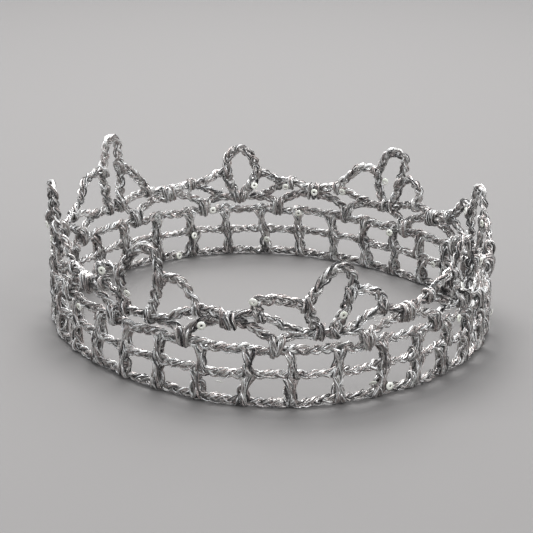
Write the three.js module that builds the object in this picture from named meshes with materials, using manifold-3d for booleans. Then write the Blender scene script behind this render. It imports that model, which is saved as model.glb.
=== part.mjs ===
// A crocheted open-mesh crown: a foundation chain, two rounds of posts, a scalloped row
// of valley arches, and eight leaf-shaped points that can be pressed in and out.
// Millimetres, +Z up, the foundation chain resting on z = 0.
import * as THREE from 'three';
import { mergeVertices } from 'three/addons/utils/BufferGeometryUtils.js';
import Module from 'manifold-3d';

const wasm = await Module();
wasm.setup();

// ---- driving dimensions ----
const bandRadius = 82;        // centre line of the rows of chain, before the hand shaping
const diagonalOval = 0.027;   // how far the ring is pressed oval, as a share of its radius
const squareness = 0.018;     // slight squaring of the ring
const lopsided = 0.0085;      // slight three-sided unevenness
const stitchDrift = 2.2;      // degrees by which stitches crowd towards one side
const pointCount = 8;
const firstPoint = 11;        // degrees from +X to the first point
const chainHeight = 3.2;      // a row of chain, seen from the side
const chainDepth = 2.7;       // a row of chain, through the wall
const cordRadius = 1.4;       // the chains of the arches and points
const firstRowRise = 10.3;    // foundation chain to first row, centre to centre
const secondRowRise = 9.1;    // first row to second row, centre to centre
const postWidth = 3.6;        // along the band
const postDepth = 2.6;        // through the wall
const postLean = 0.8;         // the top of a post is this far along from its foot
const roundShifts = [-3.0, -1.7]; // mm along the band by which each round's posts sit
const rowGap = 0.3;           // between a foot and the chain it sits on
const archRise = 9.0;         // second row to the top of a valley arch
const archFoot = 13.7;        // half the distance between an arch's feet
const baseFoot = 13.7;        // half the distance between a base chain's feet
const clusterRadius = 2.2;    // the bound stitches in each valley
const clusterHeight = 5.6;
const mergeAcross = 21.6;     // point's middle to where its chain meets the valley chain
const mergeRise = 12.2;       // second row to that meeting place
const branchDrop = 2.0;       // from the meeting place down to the end of a side branch
const mergeGap = 0.5;         // clear between the ends of the two chains there
const legGap = 1.6;           // under the feet of a point's leaf, for it to bend
const outwardFlare = 0.04;    // mm outward for each mm above the second row
const sequinRadius = 1.5;
const sequinHole = 0.45;
const sequinThickness = 0.25;
const sequinClearance = 0.35;

const yarnColour = 0xb4b6b8;
const sequinColour = 0xe6e7e2;

// Each point as it was worked by hand. Places are mm along the band from the point's middle,
// for a point that merges at shapedAcross, and mm above the second row, the clockwise side
// first. tipHalf is half the width of the tip, base is the rise of the chain under the point,
// and outer gives two places on each outer chain, as mm short of where it merges and mm above
// the second row.
const shapedAcross = 21.6;
const pointShapes = [
  {
    tip: [0.5, 30], tipHalf: 3.2, loop: [[-5, 24], [4.5, 23.5]],
    shoulder: [[-7, 18.5], [6.5, 18.5]], feet: [-2.5, 2.5], base: 5.2,
    outer: [[[8.5, 18.5], [3.6, 15]], [[9, 19.5], [4.4, 15.4]]],
  },
  {
    tip: [-8.6, 33], tipHalf: 4.6, loop: [[-13.4, 27], [-1.6, 27]],
    shoulder: [[-11.6, 20.5], [1, 22]], feet: [-7.6, -3.2], base: 8.6,
    outer: [[[5.4, 21], [0.6, 17.6]], [[9.6, 22], [4, 16.6]]],
  },
  {
    tip: [0.5, 27.6], tipHalf: 3.2, loop: [[-5, 22.6], [5.6, 22.6]],
    shoulder: [[-7, 16.4], [6, 16.4]], feet: [-1, 2.6], base: 5.3,
    outer: [[[10, 15.8], [5.4, 14]], [[10.2, 15], [5, 12.8]]],
  },
  {
    tip: [-4.8, 38.6], tipHalf: 2.8, loop: [[-8, 32.5], [-1.5, 32.5]],
    shoulder: [[-8.6, 25], [1, 25.6]], feet: [-7.8, -1.8], base: 8.8,
    outer: [[[7.4, 21.8], [2.2, 16.4]], [[10.6, 24.4], [5, 19]]],
  },
  {
    tip: [1, 38], tipHalf: 3, loop: [[-4.2, 31.5], [5.4, 31.5]],
    shoulder: [[-6.6, 23], [7.4, 23]], feet: [-2.5, 2.7], base: 6.4,
    outer: [[[8, 20.6], [3.4, 16.4]], [[8.4, 20.6], [3.8, 16.6]]],
  },
  {
    tip: [0.8, 31.4], tipHalf: 3.6, loop: [[-7, 25.2], [6, 25.8]],
    shoulder: [[-12.2, 18.8], [6.6, 20.8]], feet: [-7.6, 2], base: 5.6,
    outer: [[[4.4, 19.2], [0.4, 17]], [[8, 21.4], [2.6, 18]]],
  },
  {
    tip: [4.4, 29.6], tipHalf: 3.4, loop: [[-1, 24.6], [9.6, 23]],
    shoulder: [[-6.2, 16.6], [8.6, 19]], feet: [-2, 3.2], base: 5.8,
    outer: [[[7.4, 18.2], [0.6, 17]], [[7.2, 20], [2.4, 17.2]]],
  },
  {
    tip: [-1.4, 29], tipHalf: 3.2, loop: [[-6, 23.4], [3.8, 23.4]],
    shoulder: [[-7.8, 17.4], [6.4, 17.4]], feet: [-2.6, 2.6], base: 5.2,
    outer: [[[8.4, 16.8], [3.4, 14.6]], [[8.4, 17.2], [3.6, 15]]],
  },
];

// How far each valley arch stands above or below the usual rise.
const valleyExtras = [0, 0, 0, 0, 0, 1, -0.8, -0.3];

// Sequins caught on the band's yarn: degrees round the band, the row each one hangs on (3 is
// the tops of the arches) and how far above it, the side of the wall (1 outside, -1 inside),
// and the turn about the upright that it has settled at.
const bandSequins = [
  { at: 298, row: 0, above: 2.8, side: 1, turn: 8 },
  { at: 293, row: 0, above: 5.4, side: 1, turn: -20 },
  { at: 257, row: 1, above: -2.4, side: 1, turn: 24 },
  { at: 252.8, row: 3, above: -1.2, side: 1, turn: -12 },
  { at: 212, row: 2, above: -0.4, side: 1, turn: 18 },
  { at: 322, row: 2, above: 0.2, side: 1, turn: -16 },
  { at: 347, row: 1, above: -0.3, side: 1, turn: 14 },
  { at: 172, row: 1, above: -0.5, side: -1, turn: 10 },
  { at: 121, row: 0, above: 0.8, side: -1, turn: -14 },
  { at: 116, row: 1, above: -1.1, side: -1, turn: 22 },
  { at: 110, row: 2, above: 0.4, side: -1, turn: -8 },
  { at: 93, row: 1, above: -4.3, side: -1, turn: 16 },
  { at: 83, row: 2, above: -0.4, side: -1, turn: -24 },
  { at: 49, row: 2, above: -1.6, side: -1, turn: 12 },
  { at: 29, row: 1, above: 0.0, side: -1, turn: -18 },
  { at: 78, row: 3, above: 0.6, side: -1, turn: 6 },
];

const rad = THREE.MathUtils.degToRad;
const rows = [chainHeight / 2];
rows.push(rows[0] + firstRowRise);
rows.push(rows[1] + secondRowRise);
const topRow = rows[2];
const pitch = 360 / pointCount;
const postCount = 4 * pointCount;

// ---- the hand-shaped ring ----
function planRadius(angle) {
  const oval = -diagonalOval * Math.sin(2 * angle);
  const square = squareness * Math.cos(4 * angle);
  const uneven = lopsided * Math.cos(3 * angle - Math.PI / 4);
  return bandRadius * (1 + oval + square + uneven);
}

// Degrees of even stitch count to the real direction from the ring's middle.
function stitchAngle(degrees) {
  return rad(degrees - stitchDrift * Math.sin(rad(degrees)));
}

// A place on the wall: degrees round, mm along the band, height, mm outward.
function onWall(degrees, across, height, outward = 0) {
  const angle = stitchAngle(degrees + THREE.MathUtils.radToDeg(across / bandRadius));
  const flare = outwardFlare * Math.max(0, height - topRow);
  const radius = planRadius(angle) + outward + flare;
  return new THREE.Vector3(radius * Math.cos(angle), radius * Math.sin(angle), height);
}

// ---- solids ----
function solid(geometry) {
  const plain = geometry.index ? geometry.toNonIndexed() : geometry.clone();
  plain.deleteAttribute('normal');
  plain.deleteAttribute('uv');
  const merged = mergeVertices(plain, 1e-4);
  const vertProperties = new Float32Array(merged.attributes.position.array);
  const triVerts = new Uint32Array(merged.index.array);
  return new wasm.Manifold(new wasm.Mesh({ numProp: 3, vertProperties, triVerts }));
}

function joined(geometries) {
  return geometries.map(solid).reduce((whole, next) => whole.add(next));
}

function toGeometry(manifold) {
  const mesh = manifold.getMesh();
  const geometry = new THREE.BufferGeometry();
  geometry.setAttribute('position', new THREE.BufferAttribute(mesh.vertProperties, 3));
  geometry.setIndex(new THREE.BufferAttribute(mesh.triVerts, 1));
  geometry.computeVertexNormals();
  return geometry;
}

// One row of chain: an eight-sided ring with a flat underside, bent to the plan.
function rowRing(height) {
  const corner = 0.29;
  const outline = [];
  for (const [x, y] of [
    [corner, -0.5], [0.5, -corner], [0.5, corner], [corner, 0.5],
    [-corner, 0.5], [-0.5, corner], [-0.5, -corner], [-corner, -0.5],
  ]) {
    outline.push(new THREE.Vector2(bandRadius + x * chainDepth, y * chainHeight));
  }
  outline.push(outline[0].clone());
  const ring = new THREE.LatheGeometry(outline, 2 * postCount);
  ring.rotateX(Math.PI / 2);
  const position = ring.attributes.position;
  for (let i = 0; i < position.count; i += 1) {
    const angle = Math.atan2(position.getY(i), position.getX(i));
    const radius = Math.hypot(position.getX(i), position.getY(i));
    const bent = radius - bandRadius + planRadius(angle);
    const z = position.getZ(i) + height;
    position.setXYZ(i, bent * Math.cos(angle), bent * Math.sin(angle), z);
  }
  return ring;
}

// One post, standing on the row below and reaching into the row above.
function post(index, lowRow, highRow, shift) {
  const degrees = firstPoint + (index + 0.5) * (360 / postCount);
  const footHeight = lowRow + chainHeight / 2 + rowGap;
  const length = highRow - footHeight;
  const shape = new THREE.CylinderGeometry(0.5, 0.5, length, 8, 1);
  shape.rotateX(Math.PI / 2);
  shape.scale(postDepth, postWidth, 1);
  shape.rotateZ(stitchAngle(degrees));
  const place = onWall(degrees, shift, footHeight + length / 2);
  const top = onWall(degrees, shift + postLean / 2, highRow);
  const foot = onWall(degrees, shift - postLean / 2, footHeight);
  const position = shape.attributes.position;
  for (let i = 0; i < position.count; i += 1) {
    const share = position.getZ(i) / length + 0.5;
    position.setXYZ(
      i,
      position.getX(i) + THREE.MathUtils.lerp(foot.x, top.x, share),
      position.getY(i) + THREE.MathUtils.lerp(foot.y, top.y, share),
      position.getZ(i) + place.z,
    );
  }
  return shape;
}

function roundOfPosts(lowRow, highRow, shift) {
  const pieces = [rowRing(highRow)];
  for (let index = 0; index < postCount; index += 1) {
    pieces.push(post(index, lowRow, highRow, shift));
  }
  return joined(pieces);
}

// A length of chain through the given places, six-sided.
function cord(places, steps) {
  const section = new THREE.Shape();
  const sides = 6;
  for (let side = 0; side < sides; side += 1) {
    const angle = (side * 2 * Math.PI) / sides;
    const x = cordRadius * Math.cos(angle);
    const y = cordRadius * Math.sin(angle);
    if (side === 0) section.moveTo(x, y);
    else section.lineTo(x, y);
  }
  section.closePath();
  const extrudePath = new THREE.CatmullRomCurve3(places, false, 'centripetal');
  return new THREE.ExtrudeGeometry(section, { steps, extrudePath, bevelEnabled: false });
}

function knot(place, radius) {
  const shape = new THREE.SphereGeometry(radius, 7, 5);
  shape.translate(place.x, place.y, place.z);
  return shape;
}

// Feet are cut off level, just above the row that they stand on.
const standing = topRow + chainHeight / 2 + rowGap;
const sunk = standing - cordRadius;

// The band of stitches over a valley, the chain above it, and the bound cluster between.
function valleyArch(degrees, extra) {
  const peak = topRow + archRise + extra;
  const wall = (across, height) => onWall(degrees, across, height);
  const band = cord([
    wall(-archFoot, sunk),
    wall(-archFoot + 0.3, standing + 2.2),
    wall(-archFoot * 0.5, peak - 1.8),
    wall(0, peak),
    wall(archFoot * 0.5, peak - 1.8),
    wall(archFoot - 0.3, standing + 2.2),
    wall(archFoot, sunk),
  ], 14);
  const reach = pitch * rad(1) * bandRadius / 2 - mergeAcross - 0.35 * cordRadius;
  const end = topRow + mergeRise;
  const dip = peak + cordRadius;
  const upper = cord([
    wall(-reach, end),
    wall(-reach * 0.55, (end + dip) / 2),
    wall(0, dip),
    wall(reach * 0.55, (end + dip) / 2),
    wall(reach, end),
  ], 7);
  const cluster = new THREE.CylinderGeometry(clusterRadius, clusterRadius, clusterHeight, 8);
  cluster.rotateX(Math.PI / 2);
  const middle = wall(0, peak + cordRadius / 2);
  cluster.translate(middle.x, middle.y, middle.z);
  return joined([band, upper, cluster]).trimByPlane([0, 0, 1], standing);
}

// The chain under a point, standing on a stitch at each side, with the branch on each side
// that reaches for the valley.
function pointBase(degrees, shape) {
  const peak = topRow + shape.base;
  const wall = (across, height) => onWall(degrees, across, height);
  const chain = cord([
    wall(-baseFoot, sunk),
    wall(-baseFoot + 0.2, standing + 0.3 * shape.base),
    wall(-baseFoot + 2.8, peak - 0.7),
    wall(-4.6, peak),
    wall(4.6, peak),
    wall(baseFoot - 2.8, peak - 0.7),
    wall(baseFoot - 0.2, standing + 0.3 * shape.base),
    wall(baseFoot, sunk),
  ], 14);
  const branchEnd = topRow + mergeRise - branchDrop;
  const branches = [-1, 1].map((side) => cord([
    wall(side * mergeAcross * 0.3, peak - 0.1),
    wall(side * mergeAcross * 0.51, peak + 0.3 * (branchEnd - peak)),
    wall(side * mergeAcross * 0.67, peak + 0.7 * (branchEnd - peak)),
    wall(side * mergeAcross * 0.81, branchEnd),
  ], 5));
  return joined([chain, ...branches]).trimByPlane([0, 0, 1], standing);
}

// Leaf, tip loop and outer chains: the part of a point that bends in and out.
function point(degrees, shape) {
  const feet = shape.base + cordRadius + legGap;
  const spread = mergeAcross / shapedAcross;
  const wall = ([across, above]) => onWall(degrees, spread * across, topRow + above);
  const [tipAcross, tipAbove] = shape.tip;
  const loop = cord([
    wall(shape.shoulder[0]),
    wall(shape.loop[0]),
    wall([tipAcross - shape.tipHalf, tipAbove - 2.1]),
    wall(shape.tip),
    wall([tipAcross + shape.tipHalf, tipAbove - 2.1]),
    wall(shape.loop[1]),
    wall(shape.shoulder[1]),
  ], 14);
  const pieces = [loop];
  for (const [index, side] of [[0, -1], [1, 1]]) {
    const [across, above] = shape.shoulder[index];
    const foot = shape.feet[index];
    const [first, second] = shape.outer[index];
    pieces.push(knot(wall([across, above]), cordRadius * 1.35));
    pieces.push(cord([
      wall([across, above]),
      wall([(across + foot) / 2 + side * 0.6, (above + feet) / 2]),
      wall([foot, feet]),
    ], 4));
    pieces.push(cord([
      wall([across, above]),
      wall([side * (shapedAcross - first[0]), first[1]]),
      wall([side * (shapedAcross - second[0]), second[1]]),
      wall([side * (shapedAcross - 0.6 * cordRadius), mergeRise + cordRadius + mergeGap]),
    ], 6));
  }
  return joined(pieces);
}

function sequinShape() {
  const half = sequinThickness / 2;
  return new THREE.LatheGeometry([
    new THREE.Vector2(sequinHole, -half),
    new THREE.Vector2(sequinRadius, -half),
    new THREE.Vector2(sequinRadius, half),
    new THREE.Vector2(sequinHole, half),
    new THREE.Vector2(sequinHole, -half),
  ], 12);
}

// ---- assembly ----
const pieces = new THREE.Group();

function addPiece(name, geometry, color, roughness, metalness) {
  const material = new THREE.MeshStandardMaterial({ color, roughness, metalness });
  const mesh = new THREE.Mesh(geometry, material);
  mesh.name = name;
  pieces.add(mesh);
  return mesh;
}

function addYarn(name, manifold) {
  return addPiece(name, toGeometry(manifold), yarnColour, 0.36, 0.85);
}

addYarn('foundation_chain', joined([rowRing(rows[0])]));
addYarn('round_1', roundOfPosts(rows[0], rows[1], roundShifts[0]));
addYarn('round_2', roundOfPosts(rows[1], rows[2], roundShifts[1]));
for (let index = 0; index < pointCount; index += 1) {
  const degrees = firstPoint + index * pitch;
  const label = index + 1;
  addYarn(`point_base_${label}`, pointBase(degrees, pointShapes[index]));
  addYarn(`point_${label}`, point(degrees, pointShapes[index]));
  addYarn(`valley_arch_${label}`, valleyArch(degrees + pitch / 2, valleyExtras[index]));
}
bandSequins.forEach((spot, index) => {
  const name = `sequin_${String(index + 1).padStart(2, '0')}`;
  const sequin = addPiece(name, sequinShape(), sequinColour, 0.2, 0.7);
  const standOff = Math.max(chainDepth, postDepth, 2 * cordRadius) / 2 + sequinClearance;
  const level = spot.row < 3 ? rows[spot.row] : topRow + archRise;
  const settle = sequinRadius * Math.abs(Math.sin(rad(spot.turn))) + sequinThickness;
  const outward = spot.side * (standOff + settle);
  sequin.position.copy(onWall(spot.at, 0, level + spot.above, outward));
  sequin.rotation.set(0, 0, stitchAngle(spot.at) + rad(spot.turn) - Math.PI / 2);
});

// The origin is under the middle of the whole crown, where it rests.
pieces.updateMatrixWorld(true);
const extent = new THREE.Box3().setFromObject(pieces, true);
const centre = extent.getCenter(new THREE.Vector3());
pieces.position.set(-centre.x, -centre.y, -extent.min.z);
const crown = new THREE.Group();
crown.add(pieces);
crown.updateMatrixWorld(true);

export default crown;
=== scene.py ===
import math

import bpy
import numpy as np
from mathutils import Matrix, Vector


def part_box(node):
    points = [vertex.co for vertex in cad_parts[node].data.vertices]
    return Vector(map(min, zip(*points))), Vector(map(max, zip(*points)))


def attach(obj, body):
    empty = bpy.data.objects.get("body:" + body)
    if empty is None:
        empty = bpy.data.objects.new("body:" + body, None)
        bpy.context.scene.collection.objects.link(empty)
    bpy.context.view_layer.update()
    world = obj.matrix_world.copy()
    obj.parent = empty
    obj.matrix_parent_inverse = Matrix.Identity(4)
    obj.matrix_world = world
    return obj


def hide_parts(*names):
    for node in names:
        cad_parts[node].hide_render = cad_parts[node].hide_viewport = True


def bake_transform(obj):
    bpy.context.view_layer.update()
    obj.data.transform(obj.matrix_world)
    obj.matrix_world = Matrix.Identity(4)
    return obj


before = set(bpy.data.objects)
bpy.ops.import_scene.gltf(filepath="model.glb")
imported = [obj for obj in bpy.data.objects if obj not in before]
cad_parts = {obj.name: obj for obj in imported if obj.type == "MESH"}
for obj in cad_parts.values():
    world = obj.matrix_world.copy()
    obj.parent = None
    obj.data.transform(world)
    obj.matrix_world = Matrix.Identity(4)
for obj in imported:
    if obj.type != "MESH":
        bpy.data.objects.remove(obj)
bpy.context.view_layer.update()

mm = 0.001

# The hand-shaped ring that every row follows, in mm and degrees, as the CAD model has it.
wall = dict(bandRadius=82.0, diagonalOval=0.027, squareness=0.018, lopsided=0.0085,
            stitchDrift=2.2, outwardFlare=0.04, soleHeight=1.2)
rowHeights = (1.6, 11.9, 21.0)
topRow = rowHeights[-1]
pointCount = 8
firstPoint = 11.0
pitch = 360.0 / pointCount
postCount = 4 * pointCount
roundLength = 2 * math.pi * wall["bandRadius"]


# radius = R (1 - oval sin 2a + square cos 4a + lopsided cos(3a - 45 degrees))
def planRadius(angle):
    oval = -wall["diagonalOval"] * np.sin(2 * angle)
    square = wall["squareness"] * np.cos(4 * angle)
    uneven = wall["lopsided"] * np.cos(3 * angle - math.pi / 4)
    return wall["bandRadius"] * (1 + oval + square + uneven)


# angle = degrees of even stitch count, less a drift times its sine
def stitchAngle(degrees):
    return np.radians(degrees - wall["stitchDrift"] * np.sin(np.radians(degrees)))


# The flat crown: along = mm round the band, height = mm up, out = mm outward.
# It is rolled up by x = r cos a, y = r sin a with r = planRadius(a) + out + flare. Whatever is
# lower than the sole height h is pressed on the table: height = h e^((height - h) / h).
def rollUp(flat):
    angle = stitchAngle(np.degrees(flat[..., 0] / wall["bandRadius"]))
    sole = wall["soleHeight"]
    height = np.where(flat[..., 1] < sole, sole * np.exp((flat[..., 1] - sole) / sole), flat[..., 1])
    flare = wall["outwardFlare"] * np.maximum(0, flat[..., 1] - topRow)
    radius = planRadius(angle) + flat[..., 2] + flare
    rolled = np.stack([radius * np.cos(angle), radius * np.sin(angle), height], -1)
    return rolled + middle


# Where the ring's middle lies: the CAD chain's box against the same box worked out here.
def ringMiddle():
    angle = np.linspace(0, 2 * math.pi, 1440)
    radius = planRadius(angle)
    x, y = radius * np.cos(angle), radius * np.sin(angle)
    low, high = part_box("foundation_chain")
    return np.array([(low[0] + high[0]) / 2 / mm - (x.min() + x.max()) / 2,
                     (low[1] + high[1]) / 2 / mm - (y.min() + y.max()) / 2, 0.0])


middle = ringMiddle()


# along = degrees times the band's radius, before the drift
def alongAt(degrees):
    return math.radians(degrees) * wall["bandRadius"]


def pointDegrees(label):
    return firstPoint + (label - 1) * pitch


# The yarn, in mm. A strand is a bundle of filaments; three strands make the flat braid that a
# row of crochet chain looks like. The wanders are how unevenly the hand has drawn them.
yarn = dict(filaments=8, filamentRadius=0.22, bundleRadius=0.53, twistLength=17.0, step=0.72,
            unevenness=0.3, turnWander=0.3, sizeSpread=0.4, sizeWander=0.12, waveLength=12.0,
            flicker=0.05, foilTurn=22.0)
braid = dict(halfWidth=1.2, halfDepth=0.6, length=11.5, phaseWander=0.35, swingWander=0.14,
             depthWander=0.12, waveLength=26.0)


# A slow wander: a sum of sines of random phase, size mm high, waves cycles over the whole.
def wander(share, waves, size, rng):
    total = np.zeros_like(share)
    for cycles in waves:
        total += np.sin(2 * math.pi * (cycles * share + rng.random()))
    return size * total / math.sqrt(len(waves))


# Three wave counts for a length: n = length / waveLength, n + 1 and 2n + 1.
def waveCounts(length, waveLength, fewest):
    low = max(fewest, int(length / waveLength))
    return [low, low + 1, 2 * low + 1]


# A smooth curve through given places: Catmull-Rom pieces, then even steps along it.
def smoothPath(places, step):
    p = np.array(places, float)
    p = np.vstack([2 * p[0] - p[1], p, 2 * p[-1] - p[-2]])
    t = np.linspace(0, 1, 24, endpoint=False)[:, None]
    spans = []
    for a, b, c, d in zip(p[:-3], p[1:-2], p[2:-1], p[3:]):
        spans.append(0.5 * (2 * b + (c - a) * t + (2 * a - 5 * b + 4 * c - d) * t * t
                            + (3 * b - a - 3 * c + d) * t ** 3))
    line = np.vstack(spans + [p[-2][None]])
    run = np.concatenate([[0], np.cumsum(np.linalg.norm(np.diff(line, axis=0), axis=1))])
    count = max(4, int(round(run[-1] / step)) + 1)
    even = np.linspace(0, run[-1], count)
    return np.stack([np.interp(even, run, line[:, k]) for k in range(line.shape[1])], -1)


# Three strands plaited flat: strand i swings across by W sin f and in depth by D sin 2f,
# with f = 2 pi s / length + 2 pi i / 3. A strand is a path, a direction and whether it closes.
def plait(centre, rng, closed=False, width=1.0):
    step = np.linalg.norm(np.diff(centre, axis=0), axis=1).mean()
    s = np.arange(len(centre)) * step
    if closed:
        total = s[-1] + step
        turns = max(1, round(total / braid["length"]))
        ahead = np.roll(centre, -1, 0) - np.roll(centre, 1, 0)
        ahead[:, 0] = 2 * step
    else:
        total = s[-1]
        turns = total / braid["length"]
        ahead = np.gradient(centre, axis=0)
    ahead = ahead / np.linalg.norm(ahead, axis=1, keepdims=True)
    across = np.stack([-ahead[:, 1], ahead[:, 0]], -1)
    share = s / total
    waves = waveCounts(total, braid["waveLength"], 2)
    strands = []
    start = rng.random() * 2 * math.pi
    for i in range(3):
        f = 2 * math.pi * turns * share + start + 2 * math.pi * i / 3
        f = f + wander(share, waves, braid["phaseWander"], rng)
        swing = braid["halfWidth"] * np.sin(f) + wander(share, waves, braid["swingWander"], rng)
        depth = braid["halfDepth"] * np.sin(2 * f) + wander(share, waves, braid["depthWander"], rng)
        place = centre[:, :2] + (width * swing)[:, None] * across
        strands.append((np.column_stack([place, depth + centre[:, 2]]), (0, 0, 1), closed))
    return strands


# Even steps round a closed loop of a given length, and no fewer than fewest.
def roundTurn(length, fewest):
    count = max(fewest, int(length / yarn["step"]))
    return np.linspace(0, 2 * math.pi, count, endpoint=False)


# A closed loop over a chain: out = D cos t and height = half the rise times sin t, both squared
# off. It leans opposite ways in front and behind, slants, and flares by |sin t| ^ 1.4.
loopShape = dict(frontPower=0.6, endPower=0.85, flarePower=1.4)


def hoop(along, low, high, depth, lean=0.0, slant=0.0, flare=0.0):
    rise = (high - low) / 2
    t = roundTurn(4 * rise + 3 * depth, 14)
    c, s = np.cos(t), np.sin(t)
    front = np.sign(c) * np.abs(c) ** loopShape["frontPower"]
    sideways = lean * s * front + slant * s + flare * np.abs(s) ** loopShape["flarePower"]
    upward = rise * np.sign(s) * np.abs(s) ** loopShape["endPower"]
    path = np.column_stack([along + sideways, (low + high) / 2 + upward, depth * front])
    return (path, (1, 0, 0), True)


# A closed loop round an upright bundle: along = W cos t, out = D sin t, height tilted.
def wrap(along, height, width, depth, tilt):
    t = roundTurn(math.pi * (width + depth), 12)
    path = np.column_stack([along + width * np.cos(t), height + tilt * np.cos(t), depth * np.sin(t)])
    return (path, (0, 1, 0), True)


# A direction that no loop lying in the wall ever runs along.
outOfWall = (0.05, 0.08, 1.0)


# A loop lying in the wall: along = W cos t, height = H sin t, crossing it by D cos (t + turn).
def petal(along, height, width, rise, depth, rng):
    t = roundTurn(math.pi * (width + rise), 12)
    slant = rng.uniform(-0.5, 0.5)
    path = np.column_stack([along + width * rng.uniform(0.85, 1.2) * np.cos(t) + slant * np.sin(t),
                            height + rise * np.sin(t),
                            depth * np.cos(t + rng.uniform(0, 2 * math.pi))])
    return (path, outOfWall, True)


# Two directions square to a strand: side = ahead x plane, up = side x ahead.
def strandSides(path, plane, closed):
    if closed:
        ahead = np.roll(path, -1, 0) - np.roll(path, 1, 0)
        for end in (0, -1):  # a row's first and last places are neighbours on the ring
            if abs(ahead[end, 0]) > roundLength / 2:
                ahead[end, 0] += roundLength
    else:
        ahead = np.gradient(path, axis=0)
    ahead = ahead / np.linalg.norm(ahead, axis=1, keepdims=True)
    side = np.cross(ahead, np.array(plane, float))
    side /= np.linalg.norm(side, axis=1, keepdims=True)
    return side, np.cross(side, ahead)


# Faces of a three-sided tube of count rings, closed on itself or capped at its ends.
def tubeFaces(count, closed):
    i = np.arange(count if closed else count - 1)
    j = (i + 1) % count
    faces = [np.stack([3 * i + a, 3 * j + a, 3 * j + b, 3 * i + b], -1)
             for a, b in ((0, 1), (1, 2), (2, 0))]
    if not closed:
        last = 3 * (count - 1)
        faces.append(np.array([[0, 1, 2, 2], [last + 2, last + 1, last, last]]))
    return np.vstack(faces)


# Each strand is a bundle of filaments lying on a slowly turning ring round its path:
# core = path + B (cos g side + sin g up), g = 2 pi (k / filaments + turns s).
# Each filament is a three-sided tube of foil round its core, which turns as well.
def spin(strands, rng, filaments=yarn["filaments"], bundle=yarn["bundleRadius"],
         thick=yarn["filamentRadius"]):
    places, faces, tones, base = [], [], [], 0
    for path, plane, closed in strands:
        count = len(path)
        side, up = strandSides(path, plane, closed)
        length = np.linalg.norm(np.diff(path, axis=0), axis=1).sum()
        turns = length / yarn["twistLength"]
        turns = round(turns) if closed else turns
        share = np.arange(count) / (count if closed else count - 1)
        waves = waveCounts(length, yarn["waveLength"], 1)
        foilTurns = round(length / yarn["foilTurn"])
        tube = tubeFaces(count, closed)
        for k in range(filaments):
            away = bundle * (1 + wander(share, waves, yarn["unevenness"], rng))
            ring = (2 * math.pi * (k / filaments + turns * share)
                    + wander(share, waves, yarn["turnWander"], rng))
            core = path + away[:, None] * (np.cos(ring)[:, None] * side + np.sin(ring)[:, None] * up)
            size = thick * (1 + yarn["sizeSpread"] * (rng.random() - 0.5)
                            + wander(share, waves, yarn["sizeWander"], rng))
            roll = foilTurns * 2 * math.pi * share
            corner = ((ring + roll)[:, None] + np.arange(3) * 2 * math.pi / 3)[..., None]
            rim = np.cos(corner) * side[:, None] + np.sin(corner) * up[:, None]
            places.append((core[:, None] + size[:, None, None] * rim).reshape(-1, 3))
            # shine is a random tone for each filament. The darker tones it picks are partly painted
            # shade, standing in for the dark between the strands.
            shine = rng.random() + rng.normal(0, yarn["flicker"], count)
            tones.append(np.repeat(np.clip(shine, 0, 1), 3))
            faces.append(tube + base)
            base += 3 * count
    return np.vstack(places), np.vstack(faces), np.concatenate(tones)


# Puts places in mm and faces into a mesh. A face whose last two corners agree is a triangle.
def makePiece(name, places, faces, material, tones=None):
    sizes = np.where(faces[:, 2] == faces[:, 3], 3, 4)
    corners = faces[np.arange(4)[None, :] < sizes[:, None]]
    starts = np.concatenate([[0], np.cumsum(sizes)[:-1]])
    mesh = bpy.data.meshes.new(name)
    mesh.vertices.add(len(places))
    mesh.vertices.foreach_set("co", (places * mm).astype(np.float32).ravel())
    mesh.loops.add(len(corners))
    mesh.loops.foreach_set("vertex_index", corners.astype(np.int32))
    mesh.polygons.add(len(faces))
    mesh.polygons.foreach_set("loop_start", starts.astype(np.int32))
    mesh.update(calc_edges=True)
    if tones is not None:
        tone = mesh.attributes.new("fibreTone", "FLOAT", "POINT")
        tone.data.foreach_set("value", tones.astype(np.float32))
    mesh.materials.append(material)
    piece = bpy.data.objects.new(name, mesh)
    bpy.context.scene.collection.objects.link(piece)
    return piece


# sRGB hex to linear: c / 12.92 below 0.04045, else ((c + 0.055) / 1.055) ^ 2.4
def linear(code):
    parts = np.array([int(code[i:i + 2], 16) / 255 for i in (1, 3, 5)])
    low = parts / 12.92
    high = ((parts + 0.055) / 1.055) ** 2.4
    return tuple(np.where(parts < 0.04045, low, high)) + (1.0,)


# Adds a node: a setting is one of the node's own values if it has it, else a socket's.
def addNode(tree, kind, settings=None, links=None):
    node = tree.nodes.new(kind)
    for key, value in (settings or {}).items():
        if hasattr(node, key):
            setattr(node, key, value)
        else:
            node.inputs[key].default_value = value
    for key, source in (links or {}).items():
        tree.links.new(source, node.inputs[key])
    return node


def newMaterial(name):
    material = bpy.data.materials.new(name)
    material.use_nodes = True
    material.node_tree.nodes.clear()
    return material, material.node_tree


# Metallised polyester filament, slit and spun: bright where it faces the light, dark between
# the strands, with some filaments whiter and some warmer. Each filament has one tone from its
# fibreTone attribute, drawn at random. The darkest tones are partly darker filaments and partly
# painted shade, standing in for the dark between the strands, which the dense bundles lack.
# The glints are about 1 mm long; the real ones are finer than can show.
yarnLook = dict(darkToneAndShade="#3e3d3f", bright="#ffffff", metallic=0.78, glintScale=900.0,
                shades=((0.25, "#918f8e"), (0.4, "#beb2af"), (0.61, "#dedcd9")),
                glintRange=(0.35, 0.65), roughness=(0.22, 0.44))


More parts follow.
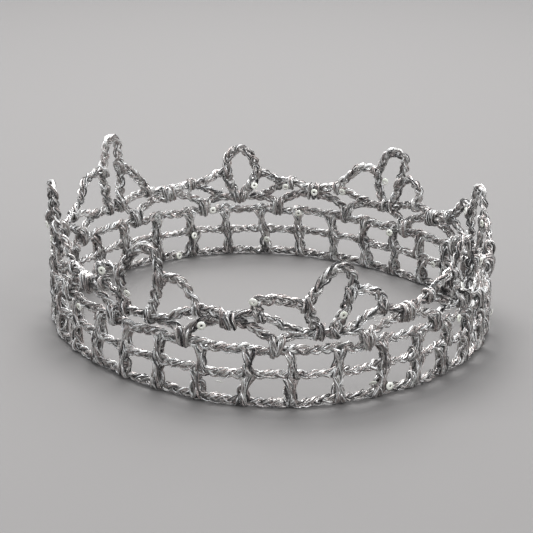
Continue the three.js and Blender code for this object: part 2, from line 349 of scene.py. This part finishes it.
def yarnMaterial():
    material, tree = newMaterial("metallisedPolyesterYarn")
    tone = addNode(tree, "ShaderNodeAttribute", {"attribute_name": "fibreTone"})
    shades = addNode(tree, "ShaderNodeValToRGB", {}, {"Fac": tone.outputs["Fac"]})
    ramp = shades.color_ramp
    ramp.elements[0].color = linear(yarnLook["darkToneAndShade"])
    ramp.elements[1].color = linear(yarnLook["bright"])
    for spot, shade in yarnLook["shades"]:
        ramp.elements.new(spot).color = linear(shade)
    place = addNode(tree, "ShaderNodeTexCoord")
    glint = addNode(tree, "ShaderNodeTexNoise", {"Scale": yarnLook["glintScale"], "Detail": 1.0},
                    {"Vector": place.outputs["Object"]})
    least, most = yarnLook["glintRange"]
    smooth, rough = yarnLook["roughness"]
    roughness = addNode(tree, "ShaderNodeMapRange", {"From Min": least, "From Max": most,
                                                     "To Min": smooth, "To Max": rough},
                        {"Value": glint.outputs["Fac"]})
    shader = addNode(tree, "ShaderNodeBsdfPrincipled", {"Metallic": yarnLook["metallic"]},
                     {"Base Color": shades.outputs["Color"], "Roughness": roughness.outputs["Result"]})
    addNode(tree, "ShaderNodeOutputMaterial", {}, {"Surface": shader.outputs["BSDF"]})
    return material


# Pearl film sequin, punched flat and slightly cupped: a clear glossy face over a pale sheen
# that changes over about 2 mm.
pearlLook = dict(shade="#d9dccf", light="#f3f2ec", sheenScale=420.0, sheenRange=(0.35, 0.65),
                 metallic=0.35, roughness=0.22, coat=0.6, coatRoughness=0.08)


def sequinMaterial():
    material, tree = newMaterial("pearlFilmSequin")
    place = addNode(tree, "ShaderNodeTexCoord")
    sheen = addNode(tree, "ShaderNodeTexNoise", {"Scale": pearlLook["sheenScale"], "Detail": 1.0},
                    {"Vector": place.outputs["Object"]})
    shades = addNode(tree, "ShaderNodeValToRGB", {}, {"Fac": sheen.outputs["Fac"]})
    for element, spot, shade in zip(shades.color_ramp.elements, pearlLook["sheenRange"],
                                    (pearlLook["shade"], pearlLook["light"])):
        element.position = spot
        element.color = linear(shade)
    shader = addNode(tree, "ShaderNodeBsdfPrincipled",
                     {"Metallic": pearlLook["metallic"], "Roughness": pearlLook["roughness"],
                      "Coat Weight": pearlLook["coat"], "Coat Roughness": pearlLook["coatRoughness"]},
                     {"Base Color": shades.outputs["Color"]})
    addNode(tree, "ShaderNodeOutputMaterial", {}, {"Surface": shader.outputs["BSDF"]})
    return material


silverYarn = yarnMaterial()
pearlFilm = sequinMaterial()


# A piece spun from strands. One with no body is left unattached for the caller.
def yarnPiece(name, strands, rng, body, nodes=(), **spinning):
    flat, faces, tones = spin(strands, rng, **spinning)
    piece = makePiece(name, rollUp(flat), faces, silverYarn, tones)
    if nodes:
        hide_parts(*nodes)
    if body:
        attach(piece, body)
    return piece


# Rows of chain. The posts of each round sit roundShifts mm along from even spacing.
rowLook = dict(wave=0.3, sway=0.4, widthWander=0.07, gather=2.9, usualSwell=0.4, chainLift=0.25)
roundShifts = (-3.0, -1.7)
rowStyles = [dict(shifts=roundShifts[:1], thin=0.98, thick=1.12, lift=0.0),
             dict(shifts=roundShifts, thin=0.76, thick=1.4, lift=0.5),
             dict(shifts=roundShifts[1:], thin=0.92, thick=1.2, lift=0.6)]
postSpacing = roundLength / postCount
firstPost = alongAt(firstPoint) + postSpacing / 2


# 1 at a post and 0 between posts: a bell over the distance to the nearest post of the round.
def nearPost(along, shift):
    gap = (along - firstPost - shift + postSpacing / 2) % postSpacing - postSpacing / 2
    return np.exp(-(gap / rowLook["gather"]) ** 2)


# The row swells and rises where the posts pass through it, and thins between them:
# width = thin + (thick - thin) near, height = row + lift (near - usual swell), both wandering.
def rowChain(height, shifts, thin, thick, lift, rng):
    count = int(roundLength / yarn["step"])
    share = np.arange(count) / count
    along = share * roundLength
    near = np.max([nearPost(along, shift) for shift in shifts], axis=0)
    wave = wander(share, [5, 11, 16, 23, 32], rowLook["wave"], rng)
    wave += lift * (near - rowLook["usualSwell"])
    sway = wander(share, [3, 7, 13, 19], rowLook["sway"], rng)
    centre = np.column_stack([along, height + wave, sway])
    width = thin + (thick - thin) * near
    width = width + wander(share, [9, 14, 22], rowLook["widthWander"], rng)
    return plait(centre, rng, closed=True, width=width)


for number, (height, style) in enumerate(zip(rowHeights, rowStyles)):
    rng = np.random.default_rng(11 + number)
    if number == 0:
        node = "foundation_chain"
        height += rowLook["chainLift"]
    else:
        node = f"round_{number}"
    yarnPiece(f"rowChain{number}", rowChain(height, rng=rng, **style), rng, "band", [node])
print("rows of chain made")

# Posts. belly and bellyRise are the half width and half height of the loose loop at the foot
# of a post, for each round.
postLook = dict(depth=1.2, narrow=0.4, flare=1.5, below=0.7, footRise=3.3, scatter=0.55,
                belly=(1.9, 0.9), bellyRise=(2.9, 2.1), bellyDepth=1.2,
                footSpread=0.75, footSlant=0.5, headReach=(0.5, 1.4), headLength=(3.2, 4.2),
                waist=(0.42, 0.6), waistWidth=0.6, waistDepth=1.35)


# A post is drawn in at its waist: two strands spread apart under the row above and round the
# chain below, leaning across each other and a third. Short loops thicken its foot and its
# head, a loose loop makes its belly, and a wrap crosses the waist.
def postStrands(along, number, rng):
    low, high = rowHeights[number - 1], rowHeights[number]
    depth, bottom = postLook["depth"], low - postLook["below"]
    along = along + rng.normal(0, postLook["scatter"])
    slant = rng.normal(0.2, 0.8)
    strands = []
    for side in (-1, 1):
        strands.append(hoop(along + side * postLook["narrow"], bottom - 0.5 * rng.random(),
                            high - rng.uniform(*postLook["headReach"]), depth + 0.25 * rng.random(),
                            lean=-side * rng.uniform(-0.5, 1.0), slant=slant,
                            flare=side * postLook["flare"] * rng.uniform(0.6, 1.3)))
    strands.append(hoop(along + rng.uniform(-0.4, 0.4), bottom,
                        high - rng.uniform(*postLook["headReach"]), depth + 0.1,
                        lean=rng.uniform(-1.1, 1.1), slant=slant))
    for side in (-1, 1):
        strands.append(hoop(along - slant * 0.7 + side * postLook["footSpread"],
                            bottom - 0.4 * rng.random(),
                            low + postLook["footRise"] * rng.uniform(0.8, 1.25), depth + 0.3,
                            lean=rng.uniform(-0.9, 0.9), slant=-side * postLook["footSlant"]))
    strands.append(hoop(along + slant * 0.8 + rng.uniform(-0.3, 0.3),
                        high - rng.uniform(*postLook["headLength"]),
                        high + rng.uniform(-0.4, 0.6), depth + 0.2,
                        lean=rng.choice([-1, 1]) * rng.uniform(0.6, 1.2)))
    bellyRise = postLook["bellyRise"][number - 1]
    strands.append(petal(along + rng.uniform(-0.4, 0.4), low + bellyRise,
                         postLook["belly"][number - 1], bellyRise, postLook["bellyDepth"], rng))
    waist = low + (high - low) * rng.uniform(*postLook["waist"])
    strands.append(wrap(along, waist, postLook["waistWidth"], postLook["waistDepth"],
                        rng.choice([-1, 1]) * rng.uniform(1.2, 2.2)))
    return strands


quarters = 4
for number, shift in enumerate(roundShifts, 1):
    rng = np.random.default_rng(31 + number)
    for quarter in range(quarters):
        strands = []
        for index in range(quarter * postCount // quarters, (quarter + 1) * postCount // quarters):
            strands += postStrands(firstPost + index * postSpacing + shift, number, rng)
        yarnPiece(f"posts{number}Quarter{quarter + 1}", strands, rng, "band")
print("posts made")

# Valleys, bases and points. across is half the distance between two joints on the top row,
# and merge the place where the chains of a point and of a valley meet.
archLook = dict(rise=9.0, mergeAcross=21.6, mergeRise=12.2, overlap=1.2,
                clusterOffsets=(-2.1, -0.7, 0.7, 2.1))
jointLook = dict(across=roundLength / pointCount / 4, low=-1.8, high=4.5, chainStart=3.9,
                 offsets=(-1.5, -0.5, 0.5, 1.5), flare=0.35)
pairOffsets = (-0.7, 0.7)

# Each point as it was worked by hand: mm along from its middle and mm above the top row, the
# clockwise side first. tipHalf is half the tip's width, base the rise of the chain under the
# point, and outer gives three places on each outer chain.
pointShapes = [
    dict(tip=(0.5, 30), tipHalf=3.2, loop=((-5, 24), (4.5, 23.5)),
         shoulder=((-7, 18.5), (6.5, 18.5)), feet=(-2.5, 2.5), base=5.2,
         outer=(((-10, 19.2), (-13.6, 18.6), (-18, 15)), ((10, 20.6), (13, 19.9), (17.2, 15.4)))),
    dict(tip=(-8.6, 33), tipHalf=4.6, loop=((-13.4, 27), (-1.6, 27)),
         shoulder=((-11.6, 20.5), (1, 22)), feet=(-7.6, -3.2), base=8.6,
         outer=(((-15, 21.8), (-19, 21.8), (-23.4, 18)),
                ((5.4, 23.6), (11.8, 21.8), (17.6, 16)))),
    dict(tip=(0.5, 27.6), tipHalf=3.2, loop=((-5, 22.6), (5.6, 22.6)),
         shoulder=((-7, 16.4), (6, 16.4)), feet=(-0.8, 1.9), base=5.3,
         outer=(((-9.2, 16.2), (-13, 14.8), (-17.6, 12.4)),
                ((8.8, 16.2), (12.2, 14.6), (17, 12.4)))),
    dict(tip=(-4.8, 38.6), tipHalf=2.8, loop=((-8, 32.5), (-1.5, 32.5)),
         shoulder=((-8.6, 25), (1, 25.6)), feet=(-7.4, -1.8), base=8.8,
         outer=(((-11.6, 23.8), (-14.8, 21.6), (-20, 15.8)),
                ((6.4, 25.4), (12.4, 23.2), (15.8, 16.6)))),
    dict(tip=(1, 38), tipHalf=3, loop=((-4.2, 31.5), (5.4, 31.5)),
         shoulder=((-6.6, 23), (7.4, 23)), feet=(-2.5, 2.7), base=6.4,
         outer=(((-10, 22.8), (-14, 20), (-18.4, 15.6)), ((10.4, 22.8), (14, 20), (18, 15.6)))),
    dict(tip=(0.8, 31.4), tipHalf=3.6, loop=((-7, 25.2), (6, 25.8)),
         shoulder=((-12.2, 18.8), (6.6, 20.8)), feet=(-10, 2), base=5.6,
         outer=(((-15, 19.4), (-19.4, 19.2), (-24.2, 17.6)),
                ((9.4, 21.8), (15.6, 21.4), (19.2, 17.4)))),
    dict(tip=(4.4, 29.6), tipHalf=3.4, loop=((-1, 24.6), (9.6, 23)),
         shoulder=((-6.2, 16.6), (8.6, 19)), feet=(-2, 3.2), base=5.8,
         outer=(((-8.6, 16.9), (-15, 18.2), (-22.4, 17.4)),
                ((11.4, 20.2), (17, 19.2), (21.6, 14.6)))),
    dict(tip=(-1.4, 29), tipHalf=3.2, loop=((-6, 23.4), (3.8, 23.4)),
         shoulder=((-7.8, 17.4), (6.4, 17.4)), feet=(-2.6, 2.6), base=5.2,
         outer=(((-10.6, 17.8), (-13.6, 17), (-18.2, 14.6)), ((9, 18), (13.2, 17.2), (18, 15))))]
valleyExtras = (0, 0, 0, 0, 0, 1, -0.8, -0.3)  # mm by which each valley's arch is higher


# A braid through places given as mm along from a middle and mm above the top row.
def chainThrough(along, places, rng, width=1.0):
    path = smoothPath([(along + across, topRow + above, 0.0) for across, above in places], yarn["step"])
    return plait(path, rng, width=width)


# Where two chains meet, upright loops bind them: offsets along, and the heights they span.
def binding(along, offsets, low, high, rng, flare=0.0):
    return [hoop(along + offset + rng.normal(0, 0.15), topRow + low - rng.uniform(-0.3, 0.6),
                 topRow + high + rng.uniform(-0.9, 0.5), 1.5 + 0.3 * rng.random(),
                 lean=rng.uniform(-1.0, 1.0), slant=flare * np.sign(offset) + rng.normal(0, 0.35))
            for offset in offsets]


# The joint on the top row where a valley's arch and a point's base chain begin.
def jointBinding(along, rng):
    return binding(along - jointLook["across"], jointLook["offsets"], jointLook["low"],
                   jointLook["high"], rng, flare=jointLook["flare"])


# The arch over a valley, the chain above it that joins two points, and the loops binding them.
def valleyStrands(degrees, extra, rng):
    along = alongAt(degrees)
    joint, start = jointLook["across"], jointLook["chainStart"]
    rise, mergeRise = archLook["rise"] + extra, archLook["mergeRise"] + 0.8
    reach = roundLength / pointCount / 2 - archLook["mergeAcross"]
    end = reach + archLook["overlap"]
    strands = chainThrough(along, [(-joint + 0.2, start - 1.6), (-joint + 2.2, start + 0.6),
                                   (-joint * 0.5, rise - 1.7), (0, rise - 0.2),
                                   (joint * 0.5, rise - 1.7), (joint - 2.2, start + 0.6),
                                   (joint - 0.2, start - 1.6)], rng)
    strands += chainThrough(along, [(-end, mergeRise), (-reach * 0.5, rise + 2.5), (0, rise + 1.5),
                                    (reach * 0.5, rise + 2.5), (end, mergeRise)], rng)
    strands += binding(along, archLook["clusterOffsets"], rise - 2.5, rise + 3.2, rng)
    return strands + jointBinding(along, rng)


# The low chain under a point, and its two side branches that climb to where the chains merge.
baseWidth = 0.85


def baseStrands(degrees, shape, rng):
    along = alongAt(degrees)
    joint, rise, start = jointLook["across"], shape["base"], jointLook["chainStart"]
    mergeAcross, mergeRise = archLook["mergeAcross"], archLook["mergeRise"]
    level = (rise + start) / 2 + 0.6
    strands = chainThrough(along, [(-joint - 0.4, start - 1.8), (-joint + 1.4, start),
                                   (-joint * 0.6, level), (shape["feet"][0] * 0.8, rise),
                                   (shape["feet"][1] * 0.8, rise), (joint * 0.6, level),
                                   (joint - 1.4, start), (joint + 0.4, start - 1.8)],
                           rng, width=baseWidth)
    for side, foot in zip((-1, 1), shape["feet"]):
        leave = side * max(5.6, side * foot + 3.0)
        strands += chainThrough(along, [(leave, rise + 0.1),
                                        (side * 11.6, rise + 0.32 * (mergeRise - rise)),
                                        (side * 16.0, rise + 0.72 * (mergeRise - rise)),
                                        (side * mergeAcross, mergeRise - 0.4)],
                                rng, width=baseWidth)
        strands += binding(along + side * mergeAcross, (-0.8, 0.7), mergeRise - 2.0,
                           mergeRise + 2.2, rng)
        strands += binding(along + foot, pairOffsets, rise - 2.0, rise + 2.6, rng)
    return strands + jointBinding(along, rng)


# A leaf: the tip loop from shoulder to shoulder, a side down to each foot, and an outer chain
# from each shoulder to where it merges, bound at the shoulders.
pointWidths = dict(loop=1.15, side=1.35, outer=1.1)


def pointStrands(degrees, shape, rng):
    along = alongAt(degrees)
    tipAcross, tip = shape["tip"]
    half, shoulder, loop = shape["tipHalf"], shape["shoulder"], shape["loop"]
    feet = shape["base"] + 0.6
    strands = chainThrough(along, [shoulder[0], loop[0], (tipAcross - half, tip - 2.2),
                                   (tipAcross, tip - 0.6), (tipAcross + half, tip - 2.2),
                                   loop[1], shoulder[1]], rng, width=pointWidths["loop"])
    for index, side in enumerate((-1, 1)):
        across, above = shoulder[index]
        foot = shape["feet"][index]
        knee = ((across + foot) / 2 + side * 0.6, (above + feet) / 2)
        strands += chainThrough(along, [(across + side * 0.3, above + 0.8), knee, (foot, feet)],
                                rng, width=pointWidths["side"])
        ending = (side * (archLook["mergeAcross"] + 0.4), archLook["mergeRise"] + 0.6)
        outer = [(across - side * 0.6, above), *shape["outer"][index], ending]
        strands += chainThrough(along, outer, rng, width=pointWidths["outer"])
        strands += binding(along + across, pairOffsets, above - 2.1, above + 2.1, rng)
    return strands


def bendPoint(piece):
    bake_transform(piece)


for label, (shape, extra) in enumerate(zip(pointShapes, valleyExtras), 1):
    degrees = pointDegrees(label)
    rng = np.random.default_rng(99 + label)
    yarnPiece(f"valleyArch{label}", valleyStrands(degrees + pitch / 2, extra, rng), rng, "band",
              [f"valley_arch_{label}"])
    yarnPiece(f"pointBase{label}", baseStrands(degrees, shape, rng), rng, "band",
              [f"point_base_{label}"])
    point = yarnPiece(f"point{label}", pointStrands(degrees, shape, rng), rng, None,
                      [f"point_{label}"])
    bendPoint(point)
print("valleys, bases and points made")

# Stray filaments that have slipped out of the yarn: small single loops near the rows.
strayLook = dict(count=70, radius=(1.1, 2.6), thick=0.085, sides=26,
                 heights=(rowHeights[0] + 1.0, rowHeights[1], topRow, topRow + 9))


# along = r cos t, height = r q sin t, out = d + r tilt cos t
def strayLoops(rng):
    t = np.linspace(0, 2 * math.pi, strayLook["sides"], endpoint=False)
    strands = []
    for _ in range(strayLook["count"]):
        along = rng.random() * roundLength
        height = rng.choice(strayLook["heights"])
        size = rng.uniform(*strayLook["radius"])
        tilt = rng.uniform(-0.6, 0.6)
        height = max(height, size + 0.4)
        path = np.column_stack([along + size * np.cos(t),
                                height + size * np.sin(t) * rng.uniform(0.5, 0.95),
                                rng.uniform(-1.2, 1.6) + tilt * size * np.cos(t)])
        strands.append((path, outOfWall, True))
    return strands


rng = np.random.default_rng(5)
yarnPiece("strayFilaments", strayLoops(rng), rng, "band", filaments=1, bundle=0.0,
          thick=strayLook["thick"])
print("stray filaments made")

# Sequins, in mm. rings are shares of the radius from the hole to the rim.
sequinLook = dict(radius=1.5, cup=0.28, thick=0.12, sides=28, rings=(0.3, 0.55, 0.8, 1.0))


# A cupped washer: height = cup (1 - (r / R)^2), closed by a wall thick mm down.
def sequinMesh(name, centre, turn, tilt):
    over = np.array(sequinLook["rings"])
    rings = np.concatenate([over, over[::-1]])
    under = np.repeat([0, 1], len(over))
    radius = rings * sequinLook["radius"]
    lift = sequinLook["cup"] * (1 - rings ** 2) - under * sequinLook["thick"]
    sides, count = sequinLook["sides"], len(rings)
    t = np.linspace(0, 2 * math.pi, sides, endpoint=False)
    disc = np.stack([radius[:, None] * np.cos(t), radius[:, None] * np.sin(t),
                     np.repeat(lift[:, None], sides, 1)], -1).reshape(-1, 3)
    i, j = np.meshgrid(np.arange(count), np.arange(sides), indexing="ij")
    nextRing, nextSide = (i + 1) % count, (j + 1) % sides
    faces = np.stack([i * sides + j, nextRing * sides + j, nextRing * sides + nextSide,
                      i * sides + nextSide], -1).reshape(-1, 4)
    facing = Matrix.Rotation(turn, 3, "Z") @ Matrix.Rotation(math.pi / 2 + tilt, 3, "Y")
    piece = makePiece(name, disc @ np.array(facing).T + centre, faces, pearlFilm)
    piece.data.polygons.foreach_set("use_smooth", np.ones(len(faces), bool))
    return piece


# How far some sequins hang from upright, in radians; one is nearly flat and shows its edge.
setTilts = dict(sequin_01=-0.1, sequin_02=0.75, sequin_03=1.1)
standOff = 0.7  # mm that a sequin stands out in front of its yarn
for node in sorted(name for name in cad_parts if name.startswith("sequin_")):
    low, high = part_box(node)
    centre = (np.array(low) + np.array(high)) / 2 / mm
    radial = centre - middle
    angle = math.atan2(radial[1], radial[0])
    inside = math.hypot(radial[0], radial[1]) < float(planRadius(np.array(angle)))
    rng = np.random.default_rng(int(node[-2:]))
    turn = angle + (math.pi if inside else 0.0) + rng.uniform(-0.3, 0.3)
    tilt = setTilts.get(node, rng.uniform(-0.35, 0.35))
    away = standOff * (-1 if inside else 1)
    centre = centre + away * np.array([math.cos(angle), math.sin(angle), 0])
    piece = sequinMesh("pearl" + node[-2:], centre, turn, tilt)
    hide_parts(node)
    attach(piece, "band")

# Sequins caught on the points: point, mm along from its middle, mm above the top row, side.
# Like the leaf, they are given no body, except those caught on a branch, which belongs to the band.
pointSequins = [(7, -23.6, 17.9, 1), (7, 5.6, 12.4, 1), (6, -6.5, 12.6, 1), (6, -19.6, 17.6, 1),
                (5, 4.0, 17.6, 1), (5, -5.2, 20.3, 1), (3, -5.6, 10.8, -1), (3, -19.4, 10.6, -1),
                (2, -5.0, 19.6, -1), (2, 18.0, 11.4, -1), (8, 9.0, 17.6, 1), (8, -4.2, 12.0, 1),
                (1, 6.8, 18.8, -1), (1, -11.8, 19.0, -1)]
branchSequins = (8, 10)
pointStandOff = 2.2
for number, (label, across, above, side) in enumerate(pointSequins, 1):
    rng = np.random.default_rng(60 + number)
    along = alongAt(pointDegrees(label)) + across
    centre = rollUp(np.array([along, topRow + above, side * pointStandOff]))
    inward = 0.0 if side > 0 else math.pi
    angle = math.atan2(centre[1] - middle[1], centre[0] - middle[0])
    piece = sequinMesh(f"pointPearl{number:02d}", centre, angle + inward + rng.uniform(-0.4, 0.4),
                       rng.uniform(-0.4, 0.4))
    if number in branchSequins:
        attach(piece, "band")
    else:
        bendPoint(piece)
print("sequins made")

# Floor and light: a matte table, grey enough to come out pale under the lights.
floorLook = dict(size=40.0, shade="#666463", roughness=0.75)
bpy.ops.mesh.primitive_plane_add(size=floorLook["size"], location=(0, 0, 0))
floor = bpy.context.object
floor.name = "floor"
floorMaterial, tree = newMaterial("matteGreyFloor")
shader = addNode(tree, "ShaderNodeBsdfPrincipled", {"Base Color": linear(floorLook["shade"]),
                                                    "Roughness": floorLook["roughness"]})
addNode(tree, "ShaderNodeOutputMaterial", {}, {"Surface": shader.outputs["BSDF"]})
floor.data.materials.append(floorMaterial)

studio = dict(colour=(0.95, 0.975, 1.0, 1), strength=1.1)
world = bpy.data.worlds.new("studio")
world.use_nodes = True
background = world.node_tree.nodes["Background"]
background.inputs["Color"].default_value = studio["colour"]
background.inputs["Strength"].default_value = studio["strength"]
bpy.context.scene.world = world


# A round area lamp; places and size in metres, power in watts.
def softLight(name, place, aim, size, power):
    light = bpy.data.lights.new(name, "AREA")
    light.shape = "DISK"
    light.size = size
    light.energy = power
    lamp = bpy.data.objects.new(name, light)
    lamp.location = place
    lamp.rotation_euler = (Vector(aim) - Vector(place)).to_track_quat("-Z", "Y").to_euler()
    bpy.context.scene.collection.objects.link(lamp)


softLight("keyLight", (-0.2, 0.45, 1.2), (0, 0.05, 0.02), 0.9, 26.0)
softLight("backLight", (0.15, 0.85, 0.8), (0.1, 0.6, 0), 0.8, 5.0)
softLight("fillLight", (0.8, -0.7, 1.0), (0, 0, 0.02), 0.6, 8.5)

# Camera: distance and aim in band radii, elevation and roll in radians, lens in mm.
cameraSet = dict(distance=7.2, elevation=0.361, roll=0.017, aimX=-0.011, aimZ=0.250, lens=101.14)


def placeCamera():
    radius = wall["bandRadius"]
    base = middle + np.array([0, 0, rowHeights[0]])
    raised = cameraSet["elevation"]
    eye = base + radius * cameraSet["distance"] * np.array([0, -math.cos(raised), math.sin(raised)])
    aim = base + radius * np.array([cameraSet["aimX"], 0, cameraSet["aimZ"]])
    look = (aim - eye) / np.linalg.norm(aim - eye)
    right = np.cross(look, [0, 0, 1])
    right /= np.linalg.norm(right)
    up = np.cross(right, look)
    c, s = math.cos(cameraSet["roll"]), math.sin(cameraSet["roll"])
    turn = np.column_stack([c * right + s * up, c * up - s * right, -look])
    data = bpy.data.cameras.new("camera")
    data.lens = cameraSet["lens"]
    data.clip_start = 0.01
    camera = bpy.data.objects.new("camera", data)
    camera.matrix_world = Matrix.Translation(Vector(eye * mm)) @ Matrix(turn.tolist()).to_4x4()
    bpy.context.scene.collection.objects.link(camera)
    bpy.context.scene.camera = camera


placeCamera()
bpy.context.scene.view_settings.view_transform = "Standard"
print("floor, light and camera set")
